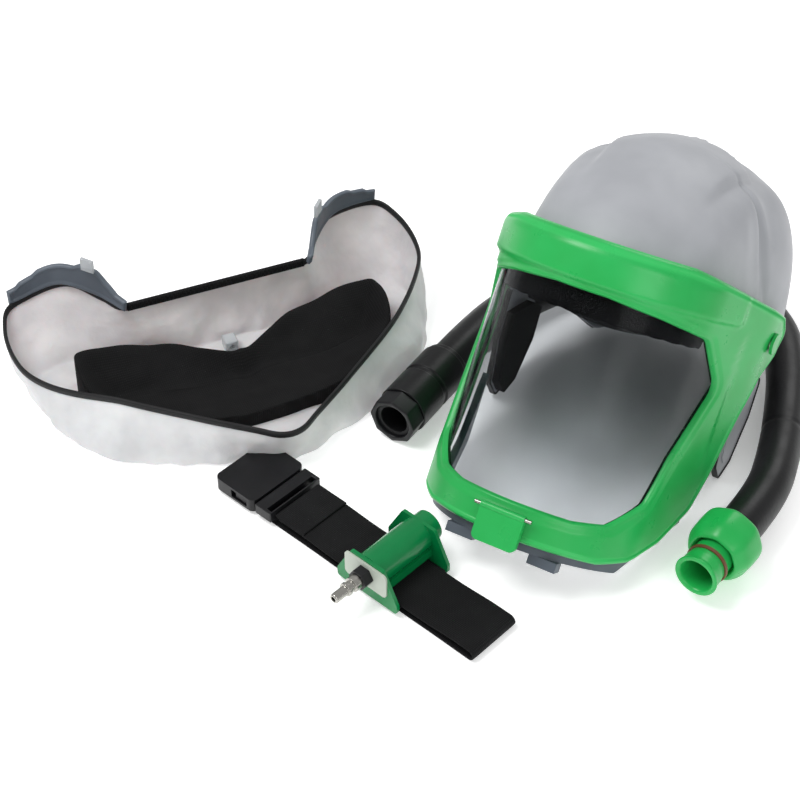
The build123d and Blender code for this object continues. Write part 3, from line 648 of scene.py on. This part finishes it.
def breathing_tube():
    line = even(tube_line(), 320)
    length = sum((b - a).length for a, b in zip(line, line[1:]))
    rings, run, before = [], 0.0, line[0]
    for i, here in enumerate(line):
        run += (here - before).length
        before = here
        along = (line[min(i + 1, 319)] - line[max(i - 1, 0)]).normalized()
        side = along.cross(Vector((0, 0, 1))).normalized()
        rise = side.cross(along)
        # the sleeve is drawn in at its turned seams
        seam = sum(math.exp(-((run - share * length) / 0.0022) ** 2) for share in (0.235, 0.80))
        radius = TUBE_RADIUS * MM * (1 - 0.035 * seam)
        rings.append([here + radius * (side * math.cos(t) + rise * math.sin(t))
                      for t in np.linspace(0, 2 * math.pi, 49)[:-1]])
    tube = piece("tube_sleeve", *skin(rings), Matrix.Identity(4), "breathing_tube",
                 "hose_black", "breathing_tube")
    modify(tube, "SOLIDIFY", thickness=2.4 * MM, offset=-1.0)


def along_axis(origin, way):
    """Frame in millimetres whose z axis runs along a direction."""
    turn = way.to_track_quat("Z", "X").to_matrix().to_4x4()
    return Matrix.Translation(origin) @ turn @ Matrix.Scale(MM, 4)


NOZZLE = along_axis(route[-1], (route[-1] - route[-2]).normalized())
NUT_PROFILE = [(3, 18.6), (3, 23), (4, 25.2), (6.5, 27.2), (10, 28), (24, 28), (29, 26.6),
               (34.5, 24), (37.2, 22.2), (38.3, 20.8), (38.3, 19.4), (37, 18.4), (33, 17.2),
               (33, 16.2), (12, 16.2), (12, 18.6)]
NOZZLE_PROFILE = [(0, 14.6), (0, 17.8), (9, 17.8), (10.5, 16), (49, 16), (50.5, 16.4), (52, 17),
                  (58, 17), (60, 17.3), (62, 18.4), (63.4, 18.4), (64, 17.6), (64, 15),
                  (62, 13.6), (56, 12.8), (12, 12.6), (10, 14.6)]
nut = piece("coupling_nut_skin", *skin(lathe(NUT_PROFILE, 96, 8, 0.03), closed_path=True), NOZZLE,
            "coupling_nut", "green_plastic", "coupling_nut")
nozzle = piece("coupling_nozzle_skin", *skin(lathe(NOZZLE_PROFILE), closed_path=True), NOZZLE,
               "breathing_tube", "green_plastic", "coupling_nozzle")
for part in (nut, nozzle):
    modify(part, "SUBSURF", levels=1, render_levels=2)
breathing_tube()

# ================================================================ belt
WEB_WIDTH, WEB_THICK = 50.0, 1.8


def belt_webbing():
    """One length of webbing, folded back on itself at its far end."""
    upper, lower, end = 9.6, 0.9, 222.5
    line = [Vector((x, 0, upper - 1.6 * ease(x, 40, 80) * (1 - ease(x, 170, 215))))
            for x in np.linspace(18, end, 60)]
    line += [Vector((end + 4.3 * math.sin(t), 0, (upper + lower) / 2 + 4.35 * math.cos(t)))
             for t in np.linspace(0.2, math.pi - 0.2, 14)]
    line += [Vector((x, 0, lower)) for x in np.linspace(end, -30, 70)]
    rings = []
    for i, here in enumerate(line):
        along = (line[min(i + 1, len(line) - 1)] - line[max(i - 1, 0)]).normalized()
        rise = Vector((0, 1, 0)).cross(along)
        wander = 0.5 * noise.noise(Vector((here.x * 0.018, 3.1, here.z * 0.2)))
        rings.append([here + Vector((0, a + wander, 0)) + rise * b
                      for a, b in oval(WEB_WIDTH, WEB_THICK, 7, 28)])
    piece("belt_strap", *skin(rings, capped=True), BELT, "belt", "black_webbing", "belt_webbing")
    patch = [Vector((x, 0, upper + 1.75)) for x in np.linspace(14, 46, 24)]
    rings = [[p + Vector((0, a, b)) for a, b in oval(WEB_WIDTH, 1.7, 7, 28)] for p in patch]
    piece("belt_sewn_end", *skin(rings, capped=True), BELT, "belt", "black_webbing", "sewn_end")


belt_webbing()

# ================================================================ face seal
RIM_SLOPE, RIM_Z = 0.08, 52.0
RIM_HALF = [(0, 40), (0, 84), (-20, 100), (-50, 125), (-56, 172), (-30, 187), (10, 189),
            (44, 177), (95, 135), (147, 71), (178, 29), (192, 9)]
FOOT_HALF = [(14, 40), (12, 80), (2, 100), (-8, 125), (-6, 160), (8, 176), (30, 180),
             (72, 171), (118, 148), (148, 104), (170, 50), (184, 10)]
NECK_HALF = [(60, 10), (46, 34), (27, 72), (24, 128), (34, 140), (76, 134), (119, 84), (132, 26)]
LOOP_COUNT = 300
WALL_ROWS, SKIRT_ROWS, GAITER_ROWS = 19, 13, 34
WALL_FOOT = 1.2               # height of the fabric where it turns in under the seal


def loop(half, count=LOOP_COUNT):
    """Smooth closed outline from one half, starting at the middle of the back."""
    control = [(half[0][0], 0)] + half + [(u, -v) for u, v in reversed(half)]
    return even(rounded([Vector(p) for p in control], 10, closed=True), count, closed=True)


def rim_height(u, v=0.0):
    """Height of the rim, whose limp wing on the wearer's right droops."""
    return RIM_Z - RIM_SLOPE * u - 16 * ease(-v, 118, 182)


rim_loop, foot_loop, neck_loop = loop(RIM_HALF), loop(FOOT_HALF), loop(NECK_HALF)
SEAL_MIDDLE = Vector((70, 0))


def seal_fabric():
    rings = []
    for share in np.linspace(0, 1, WALL_ROWS):
        ring = []
        for rim, foot in zip(rim_loop, foot_loop):
            flat = rim.lerp(foot, share)
            out = (rim - SEAL_MIDDLE).normalized()
            wave = noise.noise(Vector((flat.x * 0.022, flat.y * 0.022, share * 0.8)))
            crease = noise.noise(Vector((flat.x * 0.06 + 7, flat.y * 0.06, share * 2.4)))
            belly = math.sin(math.pi * share) * (3.0 + 8.0 * wave) + 4.5 * crease * share
            flat = flat + out * belly
            z = rim_height(rim.x, rim.y) * (1 - share) + WALL_FOOT * share
            ring.append(Vector((flat.x, flat.y, z)))
        rings.append(ring)
    for share in np.linspace(0, 1, SKIRT_ROWS)[1:]:
        ring = []
        for foot, neck in zip(foot_loop, neck_loop):
            flat = foot.lerp(neck, share)
            lift = 2.6 * noise.noise(Vector((flat.x * 0.035, flat.y * 0.035, 4.2)))
            lift += 1.8 * math.sin(math.pi * share) + 2.0 * share
            ring.append(Vector((flat.x, flat.y, WALL_FOOT + max(0, lift))))
        rings.append(ring)
    verts, faces = skin(rings)
    cloth = piece("seal_cloth", verts, faces, SEAL, "face_seal", "seal_white", "seal_fabric")
    modify(cloth, "SUBSURF", levels=1, render_levels=1)
    modify(cloth, "SOLIDIFY", thickness=0.9 * MM, offset=0.0)


def seal_rim():
    """Rubber bead round the front of the opening, and the piped strip across its back."""
    dense = [Vector((p.x, p.y, rim_height(p.x, p.y) + 2.5)) for p in rim_loop]
    back = [p for p in dense if not (p.x < 6 and abs(p.y) < 82)]
    start = next(i for i, p in enumerate(dense) if p.y > 82)
    front = dense[start:] + dense[:start]
    front = [p for p in front if p in back]
    rings = sweep(front, oval(3.6, 6.4, 2.6, 16), (RIM_SLOPE, 0, 1))
    piece("seal_rim_bead", *skin(rings, capped=True), SEAL, "face_seal", "black_rubber", "seal_rim")
    strip = [Vector((1.2, v, rim_height(0) + 4)) for v in np.linspace(-83, 83, 90)]
    section = [(-1.2, -4), (1.4, -4), (1.8, -2.4), (1.4, -0.8), (1.4, 0.4), (2.2, 1.6), (2.2, 3.2),
               (1.0, 4), (-0.8, 4), (-1.8, 3.0), (-1.8, 1.6), (-1.2, 0.4)]
    piece("seal_piping", *skin(sweep(strip, section, (0, 0, 1)), capped=True), SEAL, "face_seal",
          "black_webbing", "seal_zip")


def neck_cuff():
    """Black knitted neck gaiter, collapsed inwards until only a slit is left."""
    rings = []
    for share in np.linspace(0, 1, GAITER_ROWS):
        ring = []
        for p in neck_loop:
            inward = ease(share, 0.26, 1.0) ** 0.9
            spine = Vector((80 - 0.0008 * p.y ** 2 + 0.02 * abs(p.y), p.y * 0.78))
            far = ease(-(p - spine).x, -20, 30)
            top = 15 + 9 * far + 4 * noise.noise(Vector((p.x * 0.03, p.y * 0.03, 1.0)))
            top += 10 * ease(abs(p.y), 70, 130)
            rise = ease(share, 0.0, 0.24) * top
            sag = ease(share, 0.3, 0.8) * (top - 9)
            flat = p.lerp(spine, inward) if share > 0.26 else p + (p - spine).normalized() * (
                2.5 - 4 * share)
            fold = noise.noise(Vector((flat.x * 0.05, flat.y * 0.018, share * 2))) * 4.5 * inward
            knot = 5.0 * math.exp(-((flat.y / 10) ** 2 + ((flat.x - 80) / 16) ** 2))
            z = 3.4 + rise - sag + fold - knot
            ring.append(Vector((flat.x, flat.y, max(z, 3.2))))
        rings.append(ring)
    cuff = piece("neck_gaiter", *skin(rings), SEAL, "face_seal", "knit_black", "neck_cuff")
    modify(cuff, "SUBSURF", levels=1, render_levels=1)
    modify(cuff, "SOLIDIFY", thickness=1.4 * MM, offset=0.0)


def bracket(name, sign):
    """Plate that clips the seal to the helmet, with a raised border."""
    line = even(rounded([Vector((6, sign * 86)), Vector((-20, sign * 101)),
                         Vector((-48, sign * 127)), Vector((-56, sign * 150)),
                         Vector((-57, sign * 176))], 14), 70)
    heights = [(0, 9), (0.1, 10), (0.2, 18), (0.27, 26), (0.42, 26), (0.48, 21), (0.76, 20),
               (0.8, 17), (0.9, 16), (0.93, 13), (1.0, 12)]
    grid = []
    for i, p in enumerate(line):
        share = i / 69
        after, before = line[min(i + 1, 69)], line[max(i - 1, 0)]
        along = (after - before).normalized()
        out = Vector((along.y, -along.x))
        tall = float(np.interp(share, *zip(*heights)))
        column = []
        for k in range(15):
            up = k / 14
            edge = min(up * tall, (1 - up) * tall, share * 100, (1 - share) * 100)
            border = 1.1 * (1 - ease(edge, 2.2, 3.4))
            round_off = 1 if edge > 1.2 else 0.45 + 0.55 * edge / 1.2
            lean = 2.0 * up
            column.append((p, out, up * tall + rim_height(p.x, p.y) + 4.5, (1.5 + border) * round_off,
                           lean))
        grid.append(column)
    rings = []
    for column in grid:
        face = [Vector((*(p + out * (thick + lean)), z)) for p, out, z, thick, lean in column]
        rear = [Vector((*(p + out * (lean - thick)), z)) for p, out, z, thick, lean in column]
        rings.append(face + rear[::-1])
    piece(f"seal_bracket_plate_{name}", *skin(rings, capped=True), SEAL, "face_seal",
          "dark_grey_plastic", f"seal_bracket_{name}")


seal_rim()
seal_fabric()
neck_cuff()
bracket("left", 1)
bracket("right", -1)

# ================================================================ CAD nodes that stay
EDGE_ROUNDING = {"visor_latch": 1.6, "valve_body": 0.9, "buckle_female": 1.6, "buckle_male": 1.0,
                 "face_frame": 1.2, "tube_cuff": 0.9, "cuff_collar": 1.2, "side_guard_left": 0.8,
                 "side_guard_right": 0.8, "valve_outlet": 0.6, "cord_toggle": 1.0,
                 "pivot_caps": 0.8, "ratchet_knob": 0.6}
slot_of = {row["node"]: row["material_slot"] for row in frame["record"]["subparts"]}
for node, obj in frame["nodes"].items():
    if obj.hide_render:
        continue
    obj.data.materials.clear()
    obj.data.materials.append(FINISH[slot_of[node]])
    obj.data.polygons.foreach_set("use_smooth", [True] * len(obj.data.polygons))
    modify(obj, "WELD", merge_threshold=0.00001)
    modify(obj, "BEVEL", width=EDGE_ROUNDING.get(node, 0.35) * MM, segments=2,
           limit_method="ANGLE", angle_limit=math.radians(35))
    modify(obj, "WEIGHTED_NORMAL", keep_sharp=False, weight=50)


# ================================================================ floor, light and camera
PAINTED_SHADE_AT = (0.195, 0.085)     # middle of the painted shadow on the ground under the helmet
PAINTED_SHADE_SCALE = (7.2, 6.4)      # one over the radii of the painted shadow on the ground, in metres
FLOOR_GLOW = 0.4


def floor():
    """White studio floor that glows a little, with a painted shadow under the helmet where the glow
    fades out.
    """
    mesh = bpy.data.meshes.new("floor")
    half = 4.0
    mesh.from_pydata([(-half, -half, 0), (half, -half, 0), (half, half, 0), (-half, half, 0)], [],
                     [(0, 1, 2, 3)])
    mesh.materials.append(surface("floor", (srgb(246, 246, 246), srgb(250, 250, 250)), (0.7, 0.8),
                                  0.01, 0.00001, Emission_Color=(1, 1, 1, 1)))
    tree = mesh.materials[0].node_tree
    mapping = tree.nodes.new("ShaderNodeMapping")
    mapping.inputs["Scale"].default_value = (*PAINTED_SHADE_SCALE, 1)
    mapping.inputs["Location"].default_value = (-PAINTED_SHADE_SCALE[0] * PAINTED_SHADE_AT[0],
                                                -PAINTED_SHADE_SCALE[1] * PAINTED_SHADE_AT[1], 0)
    place = tree.nodes.new("ShaderNodeTexCoord").outputs["Object"]
    tree.links.new(place, mapping.inputs["Vector"])
    # painted shadow: a disc under the helmet where the floor's glow is taken out
    painted_shade_disc = tree.nodes.new("ShaderNodeTexGradient")
    painted_shade_disc.gradient_type = "SPHERICAL"
    tree.links.new(mapping.outputs[0], painted_shade_disc.inputs["Vector"])
    glow_less_painted_shade = remap(tree, painted_shade_disc.outputs["Fac"], FLOOR_GLOW, 0.0, 0.0, 0.45)
    tree.links.new(glow_less_painted_shade, tree.nodes["Principled BSDF"].inputs["Emission Strength"])
    obj = bpy.data.objects.new("floor", mesh)
    obj.location.z = -0.0005
    scene.collection.objects.link(obj)


def lamp(name, place, power, size):
    light = bpy.data.lights.new(name, "AREA")
    light.energy, light.shape, light.size = power, "DISK", size
    obj = bpy.data.objects.new(name, light)
    obj.location = place
    obj.rotation_euler = (Vector((0, 0, 0.1)) - Vector(place)).to_track_quat("-Z", "Y").to_euler()
    scene.collection.objects.link(obj)


floor()
lamp("key", (-0.7, -0.6, 1.9), 23, 1.0)
lamp("fill", (1.5, -1.2, 1.3), 9, 1.2)
lamp("back", (0.3, 1.7, 1.4), 9, 1.2)
world = bpy.data.worlds.new("studio")
world.use_nodes = True
world.node_tree.nodes["Background"].inputs["Color"].default_value = (1, 1, 1, 1)
world.node_tree.nodes["Background"].inputs["Strength"].default_value = 0.5
scene.world = world
scene.view_settings.view_transform = "Standard"

AZIMUTH, ELEVATION, DISTANCE = math.radians(30), math.radians(42), 1.665
back = Vector((math.sin(AZIMUTH) * math.cos(ELEVATION), -math.cos(AZIMUTH) * math.cos(ELEVATION),
               math.sin(ELEVATION)))
camera = bpy.data.objects.new("camera", bpy.data.cameras.new("camera"))
camera.data.lens = 85.5
camera.data.sensor_width = 36
camera.location = KIT @ Vector((0, 0, 0)) + back * DISTANCE
camera.rotation_euler = (-back).to_track_quat("-Z", "Y").to_euler()
scene.collection.objects.link(camera)
scene.camera = camera
